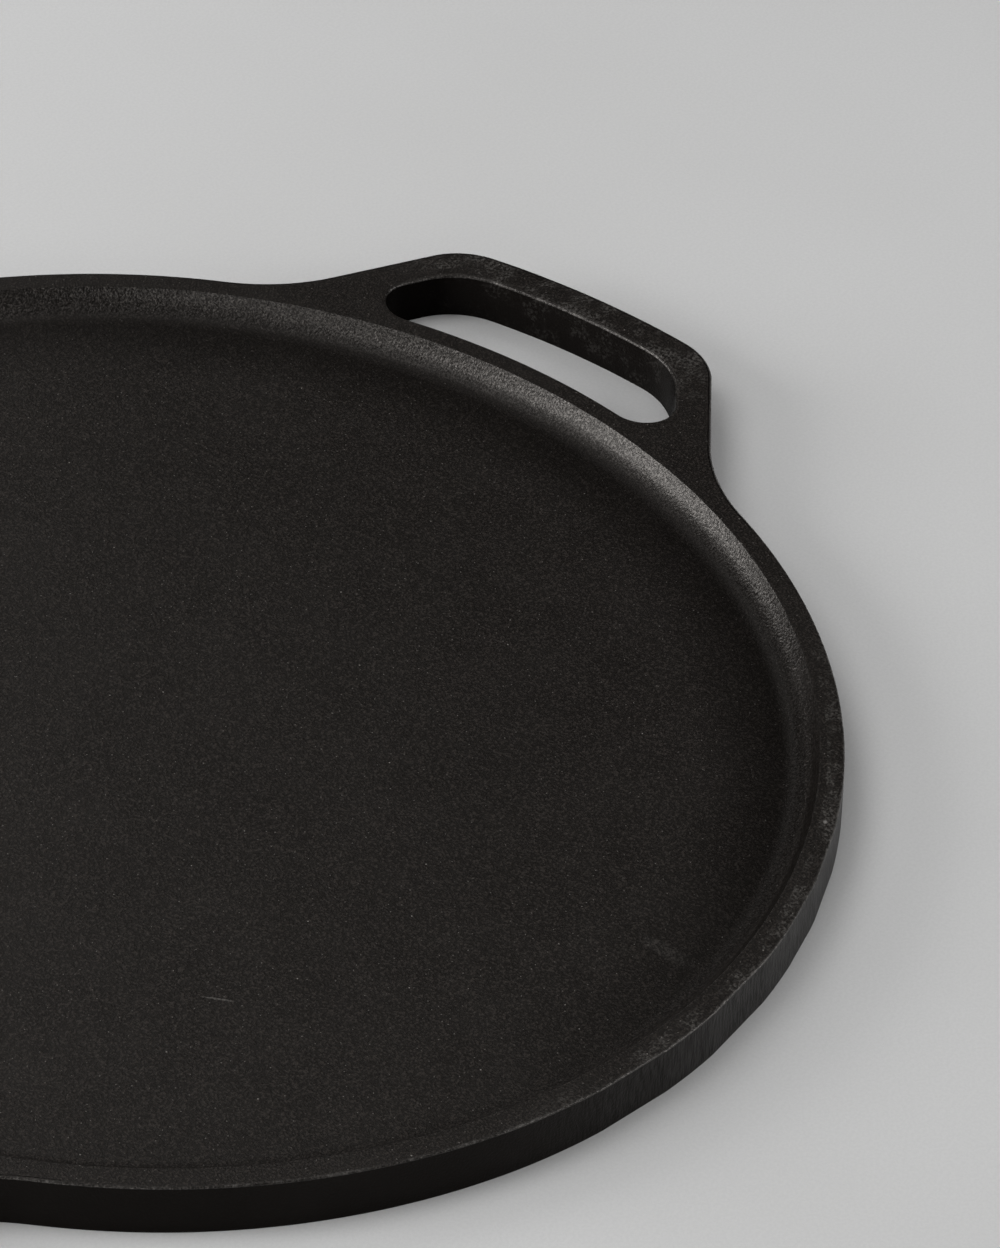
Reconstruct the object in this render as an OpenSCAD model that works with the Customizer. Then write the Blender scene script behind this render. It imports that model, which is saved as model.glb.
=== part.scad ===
// Flat round cast iron griddle pan with a low coved rim and two loop handles.
// The real pan is a single grey iron casting. Each node here is one region of that casting,
// and neighbouring regions meet face to face.
// The origin is the middle of the flat base, +X runs along the handles and +Z is up.

/* [Pan] */
// Outer radius of the rim at its top
rim_r = 140; // [130:1:160]
// Height of the rim, and thickness of the handles
rim_h = 10.5; // [9:0.1:12]
// Width of the flat land on top of the rim
land_w = 5; // [4:0.1:8]
// Thickness of the cooking plate
floor_t = 5.2; // [4:0.1:6]
// How much further out the rim's outer face stands at its foot than at its top
wall_draft = 0.8; // [0:0.1:1.5]
// Slope of the cove below the land, in degrees from the cooking face
cove_slope = 62; // [45:1:75]
// Radius of the hollow at the foot of the cove
cove_foot_r = 7; // [3:0.1:9]

/* [Handles] */
// How far each handle reaches past the rim
handle_reach = 30.4; // [28:0.1:36]
// Width of the grip bar at the far end of a handle
grip_w = 8.4; // [7:0.1:10]
// Width of the two arms that carry the grip bar
arm_w = 7.8; // [6:0.1:9]
// Width between the outer corners of a handle, as they are before rounding
tip_w = 64.2; // [58:0.1:70]
// How far each arm leans outwards, in degrees from the handle's axis
arm_tilt = 30.6; // [28:0.1:33]
// Radius of the outer corners of a handle
tip_corner_r = 16; // [10:0.5:20]
// Radius of the finger slot's corners at the grip bar
slot_tip_r = 17; // [8:0.5:20]
// Radius of the finger slot's corners at the rim
slot_root_r = 7.1; // [5:0.1:7.5]
// Radius of the blend from each arm into the rim
root_fillet_r = 44; // [30:1:46]

/* [Hidden] */

$fn = 180;
iron = [0.13, 0.12, 0.115];
seam_angle = 30; // a handle's region of the rim spans this many degrees each side of its axis
lip_w = 1.5;     // the cove ring holds this much of the land's width, and the rim the rest
margin = 1;      // how far a cutting shape stands out of what it cuts

// The cove is a hollow at the foot, then a straight slope up to the land
hollow_h = cove_foot_r * (1 - cos(cove_slope));
slope_run = (rim_h - floor_t - hollow_h) / tan(cove_slope);

land_r = rim_r - land_w;         // inner edge of the land
foot_r = land_r - slope_run - cove_foot_r * sin(cove_slope); // where the cove meets the cooking face
lip_r = land_r + lip_w;          // where the cove ring ends, under the land
grip_r = rim_r + handle_reach;   // outer face of the grip bar
slot_out_r = grip_r - grip_w;    // finger slot's face on the grip bar

// Seen from above, the outer face of an arm is a straight line. It is held as its distance from
// the middle of the pan, along arm_out, which points square out of the face.
arm_out = [sin(arm_tilt), cos(arm_tilt)];
tip_x = sqrt(pow(grip_r, 2) - pow(tip_w / 2, 2));
arm_d = arm_out * [tip_x, tip_w / 2];

// Half the width between the arms' lines at distance d from the middle, at x along the handle
function half_width(d, x) = (d - arm_out[0] * x) / arm_out[1];

// Rounds the corners that stand out of an outline
module rounded(r) {
    offset(r)
        offset(delta = -r)
            children();
}

// Fills the corners that run into an outline with hollow curves
module blended(r) {
    offset(-r)
        offset(delta = r)
            children();
}

// Region between the lines of the two arms at distance d, from the rim out to radius r
module between_arms(d, r) {
    from_x = land_r * cos(seam_angle);
    intersection() {
        circle(r);
        polygon([
            [from_x, half_width(d, from_x)], [r, half_width(d, r)],
            [r, -half_width(d, r)], [from_x, -half_width(d, from_x)]
        ]);
    }
}

// Finger slot, between the rim, the arms and the grip bar
module finger_slot() {
    rounded(slot_root_r)
        difference() {
            rounded(slot_tip_r)
                between_arms(arm_d - arm_w, slot_out_r);
            circle(rim_r);
        }
}

// Slice from the middle of the pan, reaching the given angle each side of +X
module slice(angle) {
    reach = 2 * rim_r;
    side = reach * sin(angle);
    polygon([[0, 0], [reach * cos(angle), -side], [reach, 0], [reach * cos(angle), side]]);
}

// Outline of a handle and of the part of the pan that it grows out of, without the finger slot
module handle_outline() {
    intersection() {
        blended(root_fillet_r) {
            circle(rim_r);
            rounded(tip_corner_r)
                between_arms(arm_d, grip_r);
        }
        slice(seam_angle);
    }
}

// Stretch of rim from the cove ring out to the drafted outer face, between two angles
module rim_stretch(from_angle, to_angle) {
    rotate([0, 0, from_angle])
        rotate_extrude(angle = to_angle - from_angle)
            polygon([[lip_r, 0], [rim_r + wall_draft, 0], [rim_r, rim_h], [lip_r, rim_h]]);
}

// Loop handle on the +X side, with its stretch of rim
module loop_handle() {
    color(iron)
        difference() {
            union() {
                rim_stretch(-seam_angle, seam_angle);
                linear_extrude(rim_h)
                    handle_outline();
            }
            translate([0, 0, -margin])
                cylinder(r = lip_r, h = rim_h + 2 * margin);
            translate([0, 0, -margin])
                linear_extrude(rim_h + 2 * margin)
                    finger_slot();
        }
}

// Flat round plate that food is cooked on
module cooking_plate() {
    color(iron)
        cylinder(r = foot_r, h = floor_t);
}

// Point on the hollow at the foot of the cove, where its slope is the given angle
function hollow_at(angle) = [foot_r + cove_foot_r * sin(angle), floor_t + cove_foot_r * (1 - cos(angle))];

// Ring with the cove that leads from the cooking plate up to the land
module cove_ring() {
    color(iron)
        rotate_extrude()
            polygon([
                [foot_r, 0], for (i = [0:10]) hollow_at(cove_slope * i / 10),
                [land_r, rim_h], [lip_r, rim_h], [lip_r, 0]
            ]);
}

module rim_back() {
    color(iron)
        rim_stretch(seam_angle, 180 - seam_angle);
}

module rim_front() {
    color(iron)
        rim_stretch(180 + seam_angle, 360 - seam_angle);
}

module handle_right() {
    loop_handle();
}

module handle_left() {
    rotate([0, 0, 180])
        loop_handle();
}

cooking_plate();
cove_ring();
rim_front();
rim_back();
handle_right();
handle_left();
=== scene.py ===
"""Looks of a seasoned cast iron griddle pan with two loop handles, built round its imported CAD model.

The pan is one casting. Its visual pieces are the CAD's regions of it, made again with rounded edges,
the slight unevenness of a sand casting and hand-ground flats. All sizes are in metres.
"""

import math

import bpy
import numpy as np
from mathutils import Matrix, Vector, noise
from mathutils.geometry import delaunay_2d_cdt


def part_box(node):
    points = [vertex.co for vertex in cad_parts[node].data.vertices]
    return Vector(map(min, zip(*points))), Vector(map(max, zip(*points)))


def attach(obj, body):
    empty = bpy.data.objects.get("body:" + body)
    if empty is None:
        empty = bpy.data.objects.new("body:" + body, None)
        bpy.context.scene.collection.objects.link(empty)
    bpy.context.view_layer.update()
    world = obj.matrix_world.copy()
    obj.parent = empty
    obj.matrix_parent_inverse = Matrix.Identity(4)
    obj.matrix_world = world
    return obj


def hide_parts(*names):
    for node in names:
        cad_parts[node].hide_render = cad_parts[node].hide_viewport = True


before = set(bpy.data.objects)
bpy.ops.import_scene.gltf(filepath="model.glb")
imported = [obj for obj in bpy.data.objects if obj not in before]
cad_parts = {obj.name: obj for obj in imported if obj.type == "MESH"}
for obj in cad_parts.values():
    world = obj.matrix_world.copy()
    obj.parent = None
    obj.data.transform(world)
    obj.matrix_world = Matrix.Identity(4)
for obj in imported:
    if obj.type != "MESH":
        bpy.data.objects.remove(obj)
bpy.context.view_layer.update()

MM = 0.001

# ---------------------------------------------------------------- sizes, from the CAD model

foot_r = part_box("cooking_plate")[1].x    # where the cooking plate meets the cove
floor_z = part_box("cooking_plate")[1].z   # cooking face
lip_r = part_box("cove_ring")[1].x         # where the cove's region of the land ends
rim_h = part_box("cove_ring")[1].z         # land and handle tops
base_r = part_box("rim_back")[1].y         # outer face of the rim at its foot
grip_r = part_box("handle_right")[1].x     # outer face of a handle's grip bar

# Sizes that no box shows, as the CAD has them
WALL_DRAFT = 0.8 * MM
LIP_W = 1.5 * MM
COVE_SLOPE = math.radians(62)
COVE_FOOT_R = 7 * MM
GRIP_W = 8.4 * MM
ARM_W = 7.8 * MM
TIP_W = 64.2 * MM
ARM_TILT = math.radians(30.6)
TIP_CORNER_R = 16 * MM
SLOT_TIP_R = 17 * MM
SLOT_ROOT_R = 7.1 * MM
ROOT_FILLET_R = 44 * MM
SEAM_ANGLE = math.radians(30)

rim_r = base_r - WALL_DRAFT              # outer face of the rim at its top
land_r = lip_r - LIP_W                   # inner edge of the land

# Detail that the CAD leaves out
EDGE_R = 0.5 * MM          # rounding of the top edges
SLOT_EDGE_R = 0.8 * MM     # rounding of the finger slot's top edges
BASE_EDGE_R = 0.15 * MM    # rounding of the base's edges
CREASE_R = 0.2 * MM        # rounding of the land's inner edge
BASE_WEAR = 0.3            # wear of the base's edges, where a top edge has 1
CREASE_WEAR = 0.12         # wear of the land's inner edge
DRAFT_FADE = 6 * MM        # how far out of the rim a handle's wall has come upright
SUPPORT = 0.25 * MM        # flat strip beside each rounding, which keeps the flats' shading flat
GROUND_FLATS = (           # polar angle in degrees and depth of each flat ground on the outer wall
    (-73, 0.25 * MM), (-79.6, 0.22 * MM), (-90.5, 0.35 * MM), (-103.5, 0.3 * MM),
)
SLOT_WORN_TO = 28 * MM     # how far towards -Y a finger slot's edge is worn
SLOT_WEAR_FADE = 8 * MM    # length over which that wear fades out

# Polar angles of the middles of marked stretches
GROUND_MIDDLE = math.radians(-70)    # freshly ground wall
WORN_MIDDLE = math.radians(-80)      # most worn edges
COVE_FOOT_SHADE_MIDDLE = math.radians(-18)     # middle of the darkest painted shade on the cooking face beside the cove
CREASE_SHADE_MIDDLE = math.radians(-110)     # middle of the painted shade in the cove right under the land

STEPS_PER_DEGREE = 4       # vertices along the rim
PATH_STEP = 0.6 * MM       # vertices along a handle's outline
CAP_STEP = 1.6 * MM        # vertices across the top faces
PLATE_STEP = 3 * MM        # vertices across the cooking face
ROW_SPACING = 0.866        # height of an even-sided triangle, as a share of its side


# ---------------------------------------------------------------- outlines

def unit(angle):
    return np.array([math.cos(angle), math.sin(angle)])


def heading(v):
    return math.atan2(v[1], v[0])


def arc(centre, radius, start, end, step=PATH_STEP):
    """Points along an arc from angle start to angle end."""
    count = max(2, math.ceil(abs(end - start) * radius / step))
    return [np.asarray(centre) + radius * unit(start + (end - start) * i / count) for i in range(count + 1)]


def joined(*runs):
    """One path through several runs of points, without repeats where they meet and with long gaps filled."""
    path = [runs[0][0]]
    for run in runs:
        for p in run:
            gap = np.linalg.norm(p - path[-1])
            if gap < 0.01 * MM:
                continue
            extra = math.ceil(gap / (1.5 * PATH_STEP))
            start = path[-1]
            path += [start + (p - start) * k / extra for k in range(1, extra + 1)]
    return np.array(path)


def mirrored(half):
    """A path that ends on the X axis, and its mirror image back."""
    return np.vstack([half, half[-2::-1] * [1, -1]])


# An arm's outer face is a straight line, held as its distance from the middle along arm_out.
arm_out = np.array([math.sin(ARM_TILT), math.cos(ARM_TILT)])
arm_run = np.array([math.cos(ARM_TILT), -math.sin(ARM_TILT)])
arm_d = arm_out @ [math.sqrt(grip_r**2 - TIP_W**2 / 4), TIP_W / 2]


def round_centre(distance, radius):
    """Point at that distance along arm_out and that radius from the middle."""
    return arm_out * distance + arm_run * math.sqrt(radius**2 - distance**2)


def handle_outline():
    """Outer edge of a handle and its stretch of rim, from one seam round to the other."""
    root = round_centre(arm_d + ROOT_FILLET_R, rim_r + ROOT_FILLET_R)
    tip = round_centre(arm_d - TIP_CORNER_R, grip_r - TIP_CORNER_R)
    return mirrored(joined(
        arc((0, 0), rim_r, SEAM_ANGLE, heading(root)),
        arc(root, ROOT_FILLET_R, heading(root) + math.pi, heading(-arm_out) + 2 * math.pi),
        arc(tip, TIP_CORNER_R, heading(arm_out), heading(tip)),
        arc((0, 0), grip_r, heading(tip), 0),
    ))


def slot_outline():
    """Edge of the finger slot, as a closed path."""
    slot_d = arm_d - ARM_W
    out_r = grip_r - GRIP_W
    root = round_centre(slot_d - SLOT_ROOT_R, rim_r + SLOT_ROOT_R)
    tip = round_centre(slot_d - SLOT_TIP_R, out_r - SLOT_TIP_R)
    half = joined(
        arc((0, 0), rim_r, 0, heading(root)),
        arc(root, SLOT_ROOT_R, heading(root) + math.pi, heading(arm_out)),
        arc(tip, SLOT_TIP_R, heading(arm_out), heading(tip)),
        arc((0, 0), out_r, heading(tip), 0),
    )
    return mirrored(half)[:-1]


def circle_path(radius, start, end):
    """Points on a circle round the middle, at the rim's own spacing."""
    count = round(abs(math.degrees(end - start)) * STEPS_PER_DEGREE)
    return np.array([radius * unit(start + (end - start) * i / count) for i in range(count + 1)])


def path_normals(path, closed=False):
    """Unit normals to the right of a path's direction of travel."""
    if closed:
        along = np.roll(path, -1, 0) - np.roll(path, 1, 0)
    else:
        along = np.gradient(path, axis=0)
        # Open paths start and end on the rim, square to its radius
        along[0] = [path[0][1], -path[0][0]]
        along[-1] = [path[-1][1], -path[-1][0]]
        if (path[1] - path[0]) @ along[0] < 0:
            along[0], along[-1] = -along[0], -along[-1]
    right = np.stack([along[:, 1], -along[:, 0]], 1)
    return right / np.linalg.norm(right, axis=1, keepdims=True)


# ---------------------------------------------------------------- unevenness of the casting

def uneven(x, y, size, seed):
    """Smooth noise from 0 to 1 with features of about that size."""
    return 0.5 + 0.5 * noise.noise(Vector((x / size, y / size, seed)))


def sag(x, y):
    """How far the land and the handle tops lie below their nominal height."""
    return 0.08 * MM * uneven(x, y, 45 * MM, 3.1) + 0.03 * MM * uneven(x, y, 9 * MM, 7.7)


def wall_inset(x, y):
    """How far the outer wall lies inside its nominal face, where hand grinding has left it uneven."""
    inset = 0.12 * MM * uneven(x, y, 30 * MM, 11.3) ** 2 + 0.04 * MM * uneven(x, y, 7 * MM, 5.2)
    for degrees, depth in GROUND_FLATS:
        from_middle = math.cos(math.atan2(y, x) - math.radians(degrees)) * base_r
        inset = max(inset, from_middle - (base_r - depth))
    return inset


def draft(x, y):
    """How much further out the wall's foot stands than its top. The handles' own walls are upright."""
    past = (math.hypot(x, y) - rim_r) / DRAFT_FADE
    return WALL_DRAFT * (0.5 + 0.5 * math.cos(math.pi * min(max(past, 0.0), 1.0)))


# ---------------------------------------------------------------- meshes

class Shell:
    """Collects the vertices and faces of one closed piece. Hidden faces lie against a neighbouring piece."""

    def __init__(self):
        self.points, self.edge, self.faces, self.hidden = [], [], [], []

    def add(self, point, edge=0.0):
        self.points.append(tuple(point))
        self.edge.append(edge)
        return len(self.points) - 1

    def face(self, *corners, hidden=False):
        self.faces.append(corners)
        self.hidden.append(hidden)

    def build(self, name, material):
        """Makes the object, with its top sagging and with sharp edges round the hidden faces."""
        mesh = bpy.data.meshes.new(name)
        sunk = [(x, y, z - sag(x, y) * z / rim_h) for x, y, z in self.points]
        mesh.from_pydata(sunk, [], self.faces)
        mesh.update()
        worn = mesh.attributes.new("edge", "FLOAT", "POINT")
        worn.data.foreach_set("value", np.array(self.edge, np.float32))
        mesh.shade_smooth()
        sharp = {}
        for polygon, hidden in zip(mesh.polygons, self.hidden):
            for key in polygon.edge_keys:
                sharp.setdefault(key, set()).add(hidden)
        for edge in mesh.edges:
            edge.use_edge_sharp = len(sharp.get(edge.key, ())) > 1
        for polygon, hidden in zip(mesh.polygons, self.hidden):
            if hidden:
                polygon.use_smooth = False
        mesh.materials.append(material)
        piece = bpy.data.objects.new(name, mesh)
        bpy.context.collection.objects.link(piece)
        return piece


def wall_profile(edge_r):
    """(inset, height, wear) up a wall, from the base to the top face."""
    rows = [(BASE_EDGE_R + SUPPORT, 0.0, 0.0)]
    for a in np.radians([-90, -60, -30, 0]):
        rows.append((BASE_EDGE_R * (1 - math.cos(a)), BASE_EDGE_R * (1 + math.sin(a)), BASE_WEAR))
    for share in (0.02, 0.2, 0.4, 0.6, 0.8, 0.98):
        rows.append((0.0, BASE_EDGE_R + share * (rim_h - edge_r - BASE_EDGE_R), 0.0))
    for a in np.radians([0, 18, 36, 54, 72, 90]):
        rows.append((edge_r * (1 - math.cos(a)), rim_h - edge_r * (1 - math.sin(a)),
                     math.sin(2 * a) ** 0.5 if 0 < a < 1.57 else 0.0))
    rows.append((edge_r + SUPPORT, rim_h, 0.0))
    return rows


def add_wall(shell, path, outward, profile, closed=False):
    """A wall up along a path. Returns its rows of vertex numbers, base first. A slot's path is closed."""
    ground = [wall_inset(*p) for p in path]
    foot = [0.0 if closed else draft(*p) for p in path]
    kept = [min(max((p[1] + SLOT_WORN_TO) / SLOT_WEAR_FADE, 0.0), 1.0) if closed else 1.0 for p in path]
    rows = []
    for inset, z, wear in profile:
        rows.append([
            shell.add((*(p + n * (f * (1 - z / rim_h) - g - inset)), z), wear * k)
            for p, n, f, g, k in zip(path, outward, foot, ground, kept)
        ])
    count = len(path)
    for low, high in zip(rows, rows[1:]):
        for i in range(count if closed else count - 1):
            j = (i + 1) % count
            shell.face(low[i], low[j], high[j], high[i])
    return rows


def inside(points, loops):
    """Which points lie inside an odd number of the loops."""
    found = np.zeros(len(points), bool)
    for loop in loops:
        a, b = loop, np.roll(loop, -1, 0)
        for (x0, y0), (x1, y1) in zip(a, b):
            if y0 == y1:
                continue
            crosses = (points[:, 1] < y0) != (points[:, 1] < y1)
            found ^= crosses & (points[:, 0] < x0 + (points[:, 1] - y0) * (x1 - x0) / (y1 - y0))
    return found


def add_cap(shell, loops, z, up, step):
    """Fills between loops of vertex numbers with triangles that face up or, with up below 0, down."""
    edges_at = [np.array([shell.points[v][:2] for v in loop]) for loop in loops]
    rim = np.vstack(edges_at)
    low, high = rim.min(0), rim.max(0)
    rows = int((high[1] - low[1]) / (step * ROW_SPACING)) + 1
    columns = int((high[0] - low[0]) / step) + 1
    grid = np.array([
        [low[0] + (c + 0.5 * (r % 2)) * step, low[1] + r * step * ROW_SPACING]
        for r in range(rows) for c in range(columns)
    ])
    grid = grid[inside(grid, edges_at)]
    near = np.array([np.min(np.sum((rim - g) ** 2, 1)) for g in grid])
    grid = grid[near > (0.6 * step) ** 2]
    numbers = [v for loop in loops for v in loop] + [shell.add((*g, z)) for g in grid]
    edges, start = [], 0
    for loop in loops:
        edges += [(start + i, start + (i + 1) % len(loop)) for i in range(len(loop))]
        start += len(loop)
    places = [Vector(p) for p in (*rim, *grid)]
    out = delaunay_2d_cdt(places, edges, [], 0, 1e-9)
    first = [came_from[0] for came_from in out[3]]
    triangles = [[first[v] for v in f] for f in out[2]]
    middles = np.array([sum((np.array(places[v]) for v in t), np.zeros(2)) / 3 for t in triangles])
    for triangle, within in zip(triangles, inside(middles, edges_at)):
        if within:
            corners = [numbers[v] for v in triangle]
            shell.face(*(corners if up > 0 else corners[::-1]))


def casting_region(name, outline, from_angle, to_angle, material, slot=None):
    """A region of the casting between an outline, the cove ring and two radial seams."""
    shell = Shell()
    outward = path_normals(outline)
    if outward[0] @ outline[0] < 0:
        outward = -outward
    wall = add_wall(shell, outline, outward, wall_profile(EDGE_R))
    inner = circle_path(lip_r, from_angle, to_angle)
    inner_low = [shell.add((*p, 0)) for p in inner]
    inner_high = [shell.add((*p, rim_h)) for p in inner]
    for i in range(len(inner) - 1):
        shell.face(inner_low[i + 1], inner_low[i], inner_high[i], inner_high[i + 1], hidden=True)
    shell.face(*[row[0] for row in wall], inner_high[0], inner_low[0], hidden=True)
    shell.face(*[row[-1] for row in wall][::-1], inner_low[-1], inner_high[-1], hidden=True)
    low_loops = [wall[0] + inner_low[::-1]]
    high_loops = [wall[-1] + inner_high[::-1]]
    if slot is not None:
        normals = path_normals(slot, closed=True)       # into the slot, away from the iron
        if normals[0] @ slot[0] < 0:
            normals = -normals
        hole = add_wall(shell, slot, normals, wall_profile(SLOT_EDGE_R), closed=True)
        low_loops.append(hole[0])
        high_loops.append(hole[-1])
    add_cap(shell, low_loops, 0.0, -1, CAP_STEP)
    add_cap(shell, high_loops, rim_h, 1, CAP_STEP)
    return shell.build(name, material)


def cove_ring(material):
    """The cove that leads from the cooking plate up to the land, all the way round."""
    profile = [(foot_r, 0.0, 0.0)]
    for degrees in (0, 1, 3, 6, 10, 15, 20, 26, 32, 38, 44, 50, 56, 62):
        a = math.radians(degrees)
        profile.append((foot_r + COVE_FOOT_R * math.sin(a), floor_z + COVE_FOOT_R * (1 - math.cos(a)), 0.0))
    tangent = CREASE_R * math.tan(COVE_SLOPE / 2)      # from the sharp crease to where its rounding starts
    low = np.array(profile[-1][:2])
    high = np.array([land_r - tangent * math.cos(COVE_SLOPE), rim_h - tangent * math.sin(COVE_SLOPE)])
    for share in (0.05, 0.25, 0.5, 0.75, 0.95):
        profile.append((*(low + (high - low) * share), 0.0))
    for degrees in (62, 46, 31, 15, 0):
        a = math.radians(degrees)
        profile.append((land_r + tangent - CREASE_R * math.sin(a), rim_h - CREASE_R * (1 - math.cos(a)),
                        CREASE_WEAR))
    profile.append((land_r + tangent + SUPPORT, rim_h, 0.0))
    profile.append((lip_r, rim_h, 0.0))
    profile.append((lip_r, 0.0, 0.0))
    shell = Shell()
    count = 360 * STEPS_PER_DEGREE
    turn = [unit(2 * math.pi * i / count) for i in range(count)]
    rows = [[shell.add((*(r * way), z), wear) for way in turn] for r, z, wear in profile]
    hidden = [0, len(rows) - 2, len(rows) - 1]
    for k in range(len(rows)):
        low_row, high_row = rows[k], rows[(k + 1) % len(rows)]
        for i in range(count):
            j = (i + 1) % count
            shell.face(low_row[j], low_row[i], high_row[i], high_row[j], hidden=k in hidden)
    return shell.build("cove_ring_casting", material)


def cooking_plate(material):
    """The flat disc that food is cooked on."""
    shell = Shell()
    count = 360 * STEPS_PER_DEGREE
    path = [foot_r * unit(2 * math.pi * i / count) for i in range(count)]
    low = [shell.add((*p, 0)) for p in path]
    high = [shell.add((*p, floor_z)) for p in path]
    for i in range(count):
        j = (i + 1) % count
        shell.face(low[i], low[j], high[j], high[i], hidden=True)
    add_cap(shell, [low], 0.0, -1, PLATE_STEP)
    add_cap(shell, [high], floor_z, 1, PLATE_STEP)
    return shell.build("cooking_plate_casting", material)


# ---------------------------------------------------------------- materials

class Shader:
    """A new material's node tree, with one short call for each kind of node."""

    def __init__(self, name):
        self.material = bpy.data.materials.new(name)
        self.material.use_nodes = True
        self.tree = self.material.node_tree
        self.principled = self.tree.nodes["Principled BSDF"]
        self.place = self.node("TexCoord").outputs["Object"]
        self.up = self.split(self.node("TexCoord").outputs["Normal"])["Z"]
        self.top = self.ramp(self.up, 0.6, 0.9)                                # 1 on level faces
        self.wall = self.ramp(self.maths("ABSOLUTE", self.up), 0.5, 0.15)      # 1 on upright faces
        self.from_middle = self.flat_length(self.place)

    def node(self, kind, inputs=None, **settings):
        made = self.tree.nodes.new("ShaderNode" + kind)
        for key, value in settings.items():
            setattr(made, key, value)
        for socket, value in (inputs or {}).items():
            self.feed(made.inputs[socket], value)
        return made

    def feed(self, socket, value):
        if isinstance(value, bpy.types.NodeSocket):
            self.tree.links.new(value, socket)
        else:
            socket.default_value = value

    def set(self, **values):
        for name, value in values.items():
            self.feed(self.principled.inputs[name.replace("_", " ")], value)

    def split(self, vector):
        return self.node("SeparateXYZ", {"Vector": vector}).outputs

    def flat_length(self, vector):
        """Length of a vector seen from above."""
        flat = self.node("VectorMath", {0: vector, 1: (1, 1, 0)}, operation="MULTIPLY").outputs[0]
        return self.node("VectorMath", {0: flat}, operation="LENGTH").outputs["Value"]

    def maths(self, operation, a, b=0.0):
        return self.node("Math", {0: a, 1: b}, operation=operation).outputs[0]

    def times(self, first, *others):
        for other in others:
            first = self.maths("MULTIPLY", first, other)
        return first

    def noise(self, size, detail=2.0, rough=0.5, stretch=(1, 1, 1), shift=0.0):
        """Noise around 0.5 with features of about that size, longer along an axis with a stretch above 1."""
        scale = tuple(1 / (size * s) for s in stretch)
        where = self.node("Mapping", {"Vector": self.place, "Scale": scale, "Location": (shift, shift, 0)})
        return self.node("TexNoise", {
            "Vector": where.outputs[0], "Scale": 1.0, "Detail": detail, "Roughness": rough}).outputs["Fac"]

    def ramp(self, value, start, end, low=0.0, high=1.0):
        """Goes smoothly from low to high as the value goes from start to end."""
        return self.node("MapRange", {
            "Value": value, "From Min": start, "From Max": end, "To Min": low, "To Max": high},
            interpolation_type="SMOOTHSTEP", clamp=True).outputs[0]

    def blend(self, share, a, b):
        """Colour a turning into colour b."""
        mix = self.node("Mix", data_type="RGBA")
        for socket, value in zip((mix.inputs[0], mix.inputs[6], mix.inputs[7]), (share, a, b)):
            self.feed(socket, (*value, 1) if isinstance(value, tuple) else value)
        return mix.outputs[2]

    def bump(self, height, depth, below=None):
        made = self.node("Bump", {"Height": height, "Strength": 1.0, "Distance": depth})
        if below is not None:
            self.feed(made.inputs["Normal"], below)
        return made.outputs[0]

    def towards(self, angle, start, end, low=0.0, high=1.0):
        """Goes from low to high with the distance from the middle towards a polar angle."""
        along = self.node("VectorMath", {0: self.place, 1: (*unit(angle), 0)}, operation="DOT_PRODUCT")
        return self.ramp(along.outputs["Value"], start, end, low, high)

    def spot(self, x, y, length, width, degrees):
        """1 inside an oval mark in the XY plane, turning to 0 at its edge."""
        at = self.node("Mapping", {
            "Vector": self.place, "Location": (x, y, 0), "Rotation": (0, 0, math.radians(degrees)),
            "Scale": (length / 2, width / 2, 1)}, vector_type="TEXTURE").outputs[0]
        return self.ramp(self.flat_length(at), 1.0, 0.4)

    def dots(self, apart, size, dimensions):
        """1 inside round dots, whose size is a share of their spacing, and each dot's number from 0 to 1."""
        where = {"Vector": self.place, "Scale": 1 / apart}
        cells = self.node("TexVoronoi", where, voronoi_dimensions=dimensions)
        inside_dot = self.maths("LESS_THAN", cells.outputs["Distance"], size)
        return inside_dot, self.split(cells.outputs["Color"])["X"]


DARK_IRON = (0.0036, 0.0026, 0.0020)
GREY_IRON = (0.0052, 0.0041, 0.0034)
BARE_IRON = (0.16, 0.152, 0.143)
PALE_GRAIN = (0.030, 0.025, 0.022)
SCUFFED_IRON = (0.085, 0.080, 0.074)
# colour of the painted shade
PAINTED_SHADE_COLOUR = (0.0022, 0.0016, 0.0012)
# pale colour of real dust, also used for the painted glints
DUST_AND_GLINT = (0.30, 0.28, 0.26)
IRON_TINT = (1.0, 0.95, 0.90, 1.0)      # tint of reflections

# Marks, each with its place, length, width and direction in degrees
SCRATCH = (-59.8 * MM, -61.4 * MM, 8 * MM, 0.7 * MM, -64)
SMUDGE = (3.6 * MM, -121 * MM, 16 * MM, 5 * MM, -96)
CHIP = (49.6 * MM, -128.5 * MM, 1.4 * MM, 1.1 * MM, 20)


def worn_edges(s):
    """Where edges are worn to bare iron: in broken stretches, and most of all on the near side."""
    edge = s.node("Attribute", attribute_name="edge").outputs["Fac"]
    chips = s.ramp(s.noise(1.1 * MM, 5.0, 0.75, shift=9), 0.40, 0.70)
    stretches = s.ramp(s.noise(7 * MM, 3.0, 0.6, shift=13), 0.40, 0.60, 0.2, 1.0)
    return s.times(edge, chips, stretches, s.towards(WORN_MIDDLE, 20 * MM, 125 * MM, 0.25, 1.0))


def scuffs(s):
    """Pale rubbed patches on the grip bars and on the near stretch of land."""
    patches = s.ramp(s.noise(7 * MM, 5.0, 0.7, shift=11), 0.46, 0.60)
    flecks = s.ramp(s.noise(0.7 * MM, 3.0, 0.6, shift=5), 0.44, 0.62)
    on_grip = s.times(s.ramp(s.from_middle, grip_r - 17 * MM, grip_r - 9 * MM),
                      s.ramp(s.wall, 0.0, 1.0, 1.0, 0.35))
    on_land = s.times(s.towards(WORN_MIDDLE, 105 * MM, 132 * MM), s.top)
    return s.times(patches, flecks, s.maths("MAXIMUM", on_grip, on_land), 0.65)


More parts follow.
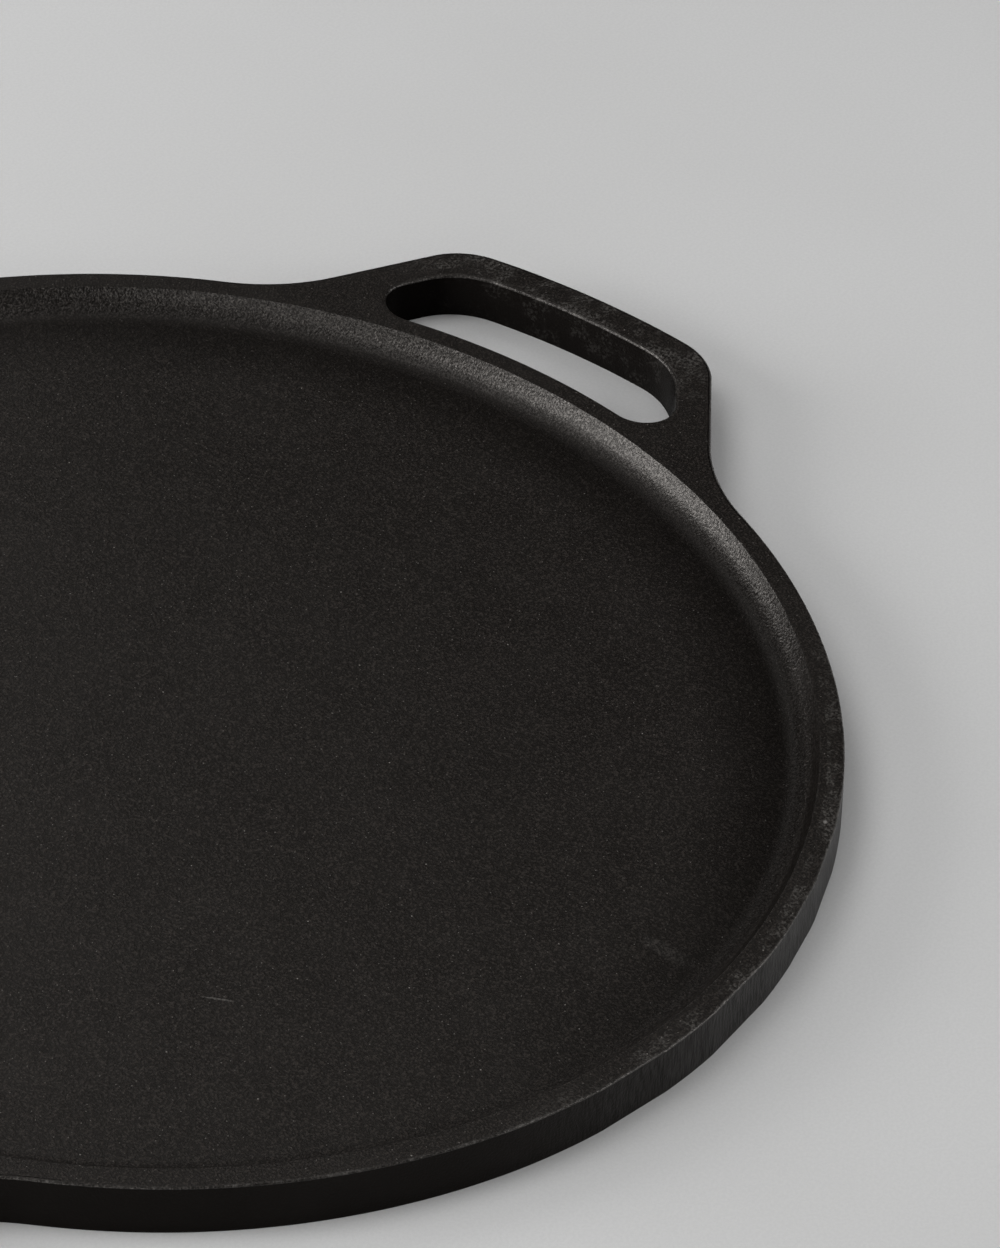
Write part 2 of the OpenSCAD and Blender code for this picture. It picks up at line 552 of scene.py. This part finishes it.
def painted_shade_on_arm_walls(s):
    """Painted shade: darker colour and less sheen on the walls of the handles' arms, at the ends of the
    finger slots.
    """
    along_arms = s.times(s.ramp(s.from_middle, rim_r + 1 * MM, rim_r + 3 * MM),
                         s.ramp(s.from_middle, grip_r - 9 * MM, grip_r - 13 * MM))
    return s.times(s.wall, along_arms, 0.8)


def painted_shade_by_cove(s):
    """Painted shade: darker colour and less sheen on one side of the cooking face beside the cove, and in
    the cove right under the land.
    """
    below_land = s.ramp(s.from_middle, land_r + 0.1 * MM, land_r - 0.1 * MM)
    # painted shade on the cooking face and the lower cove, near the cove's foot
    cove_foot_shade = s.times(s.ramp(s.from_middle, 108 * MM, 129 * MM), s.towards(COVE_FOOT_SHADE_MIDDLE, -30 * MM, 100 * MM),
                    below_land, s.ramp(s.up, 0.62, 0.85), 0.55)
    # painted shade in the crease right under the land's inner edge
    crease_shade = s.times(s.ramp(s.from_middle, land_r - 2.2 * MM, land_r - 1 * MM), below_land,
                   s.towards(CREASE_SHADE_MIDDLE, 30 * MM, 110 * MM), 0.65)
    return s.maths("MAXIMUM", cove_foot_shade, crease_shade)


def cast_iron(name, scuffed):
    """Seasoned cast iron: fine sand grain, a wrinkled cove, ground walls, worn edges, a little dust, painted
    glints and painted shade.
    """
    s = Shader(name)
    slope = s.times(s.ramp(s.up, 0.2, 0.4), s.ramp(s.up, 0.98, 0.8))      # 1 on the cove
    ground = s.times(s.wall, s.towards(GROUND_MIDDLE, 90 * MM, 142 * MM))
    grain = s.noise(0.45 * MM, 2.0, 0.6)
    wrinkles = s.noise(0.8 * MM, 4.0, 0.6, shift=40)
    patches = s.noise(16 * MM, 4.0, 0.55)
    streaks = s.noise(0.45 * MM, 2.0, 0.5, stretch=(1, 1, 12))
    worn = worn_edges(s)
    glint, glint_number = s.dots(1.5 * MM, 0.075, "2D")
    speck, speck_number = s.dots(3.5 * MM, 0.045, "3D")
    dust = s.times(speck, s.maths("GREATER_THAN", speck_number, 0.82), s.top)
    # painted shade on the arms' walls, or by the cove on the cooking face
    painted_shade = painted_shade_on_arm_walls(s) if scuffed else painted_shade_by_cove(s)

    colour = s.blend(s.ramp(patches, 0.35, 0.7), DARK_IRON, GREY_IRON)
    pale = s.times(s.ramp(grain, 0.48, 0.68), s.ramp(s.wall, 0.0, 1.0, 0.9, 0.08))
    colour = s.blend(pale, colour, PALE_GRAIN)
    if scuffed:
        colour = s.blend(scuffs(s), colour, SCUFFED_IRON)
    colour = s.blend(s.times(worn, 0.9), colour, BARE_IRON)
    # painted glints: pale dots in the top faces' colour for the sparkle of the grain
    colour = s.blend(s.times(glint, s.ramp(glint_number, 0.82, 1.0, 0.0, 0.45), s.top), colour, DUST_AND_GLINT)
    colour = s.blend(s.times(dust, 0.6), colour, DUST_AND_GLINT)
    if scuffed:
        colour = s.blend(s.spot(*CHIP), colour, BARE_IRON)
    else:
        colour = s.blend(s.times(s.spot(*SCRATCH), s.ramp(grain, 0.35, 0.55), 0.9), colour, SCUFFED_IRON)
        smudge = s.times(s.spot(*SMUDGE), s.ramp(grain, 0.40, 0.65, 0.2, 1.0), 0.26)
        colour = s.blend(smudge, colour, SCUFFED_IRON)
    # painted shade darkens the colour here and the sheen below
    colour = s.blend(painted_shade, colour, PAINTED_SHADE_COLOUR)

    rough = s.maths("ADD", s.ramp(patches, 0.3, 0.75, 0.385, 0.415), s.times(slope, -0.10))
    rough = s.maths("ADD", rough, s.times(dust, 0.3))
    cove_sheen = s.times(slope, s.ramp(grain, 0.40, 0.62, 0.05, 0.46))
    sheen = s.maths("ADD", s.ramp(s.wall, 0.0, 1.0, 0.32, 0.08), cove_sheen)
    sheen = s.maths("ADD", sheen, s.times(ground, s.ramp(streaks, 0.35, 0.65, 0.03, 0.25)))
    sheen = s.times(sheen, s.maths("SUBTRACT", 1.0, painted_shade))
    normal = s.bump(grain, 0.10 * MM)
    normal = s.bump(s.times(wrinkles, slope), 0.20 * MM, normal)
    normal = s.bump(s.times(streaks, ground), 0.06 * MM, normal)
    s.set(Base_Color=colour, Roughness=rough, Normal=normal, Metallic=s.times(worn, 0.5),
          Specular_IOR_Level=sheen, Specular_Tint=IRON_TINT)
    return s.material


def table_paint():
    """Pale matt paint, slightly cloudy, with a fine tooth."""
    s = Shader("pale_table")
    cloud = s.noise(220 * MM, 3.0)
    tooth = s.noise(0.7 * MM, 3.0, 0.7)
    colour = s.blend(s.ramp(cloud, 0.3, 0.7), (0.69, 0.688, 0.685), (0.73, 0.73, 0.729))
    colour = s.blend(s.ramp(tooth, 0.35, 0.65, 0.0, 0.12), colour, (0.45, 0.45, 0.45))
    s.set(Base_Color=colour, Roughness=0.6, Normal=s.bump(tooth, 0.02 * MM))
    return s.material


cooking_iron = cast_iron("cooking_surface", scuffed=False)
rim_iron = cast_iron("rim_iron", scuffed=True)

# ---------------------------------------------------------------- the pan

pieces = {}
pieces["cooking_plate"] = cooking_plate(cooking_iron)
pieces["cove_ring"] = cove_ring(cooking_iron)
handle, slot_path = handle_outline(), slot_outline()
pieces["handle_right"] = casting_region(
    "handle_right_casting", handle, SEAM_ANGLE, -SEAM_ANGLE, rim_iron, slot_path)
pieces["handle_left"] = casting_region(
    "handle_left_casting", -handle, math.pi + SEAM_ANGLE, math.pi - SEAM_ANGLE, rim_iron, -slot_path)
for node, start in (("rim_back", SEAM_ANGLE), ("rim_front", math.pi + SEAM_ANGLE)):
    end = start + math.pi - 2 * SEAM_ANGLE
    pieces[node] = casting_region(node + "_casting", circle_path(rim_r, start, end), start, end, rim_iron)

for node, piece in pieces.items():
    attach(piece, "root")
    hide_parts(node)

# ---------------------------------------------------------------- floor, camera and light

floor_mesh = bpy.data.meshes.new("table_top")
floor_mesh.from_pydata([(-3, -3, 0), (3, -3, 0), (3, 3, 0), (-3, 3, 0)], [], [(0, 1, 2, 3)])
table_top = bpy.data.objects.new("table_top", floor_mesh)
bpy.context.collection.objects.link(table_top)
floor_mesh.materials.append(table_paint())

CAMERA_AT = Vector((-0.71258, -0.47049, 0.71259))
CAMERA_HEADING = math.radians(-61.25)
CAMERA_PITCH = math.radians(38.491)
CAMERA_ROLL = math.radians(6.304)
camera_data = bpy.data.cameras.new("camera")
camera_data.lens = 161.8
camera_data.shift_x = -0.0008
camera_data.sensor_width = 36
camera = bpy.data.objects.new("camera", camera_data)
bpy.context.collection.objects.link(camera)
turn = Matrix.Rotation(CAMERA_HEADING, 4, "Z") @ Matrix.Rotation(math.pi / 2 - CAMERA_PITCH, 4, "X")
camera.matrix_world = Matrix.Translation(CAMERA_AT) @ turn @ Matrix.Rotation(CAMERA_ROLL, 4, "Z")
bpy.context.scene.camera = camera

LIGHT_DISTANCE = 1.6
TO_THE_LEFT = Vector((-0.54, 0.84, 0))      # along the table, as the camera sees it
AWAY = Vector((0.877, 0.481, 0))


def soft_light(name, sideways, away, elevation, size, power):
    """A round soft light aimed at the pan. Its heading is a share to the left and a share away."""
    across = sideways * TO_THE_LEFT + away * AWAY
    rise = math.radians(elevation)
    place = LIGHT_DISTANCE * (math.cos(rise) * across.normalized() + math.sin(rise) * Vector((0, 0, 1)))
    light = bpy.data.lights.new(name, "AREA")
    light.shape = "DISK"
    light.size = size
    light.energy = power
    lamp = bpy.data.objects.new(name, light)
    lamp.location = place
    lamp.rotation_euler = (-place).to_track_quat("-Z", "Y").to_euler()
    bpy.context.collection.objects.link(lamp)


soft_light("window_near", 1, -0.3, 21, 0.8, 7)
soft_light("window_middle", 1, 0.05, 16, 0.8, 12)
soft_light("window_far", 1, 0.3, 9, 0.3, 1.5)
soft_light("high_window", 1, 0, 60, 1.0, 7.4)
soft_light("near_wall", 0.2, -1, 20, 0.7, 5)
soft_light("far_wall_left", 0.5, 1, 40, 0.7, 1.8)
soft_light("far_ceiling", -0.5, 1, 65, 0.8, 1.6)
soft_light("right_wall", -1, 0, 24, 0.9, 8.5)
soft_light("ceiling", 0.001, 0, 88, 1.2, 2.6)

# A dark room with a pale band low down, all the way round
world = bpy.data.worlds.new("room")
world.use_nodes = True
nodes, links = world.node_tree.nodes, world.node_tree.links
height = nodes.new("ShaderNodeSeparateXYZ")
band = nodes.new("ShaderNodeMapRange")
for socket, value in {"From Min": 0.04, "From Max": 0.10, "To Min": 0.35, "To Max": 0.01}.items():
    band.inputs[socket].default_value = value
links.new(nodes.new("ShaderNodeTexCoord").outputs["Generated"], height.inputs[0])
links.new(height.outputs["Z"], band.inputs["Value"])
links.new(band.outputs[0], nodes["Background"].inputs["Color"])
bpy.context.scene.world = world
bpy.context.scene.view_settings.view_transform = "Standard"
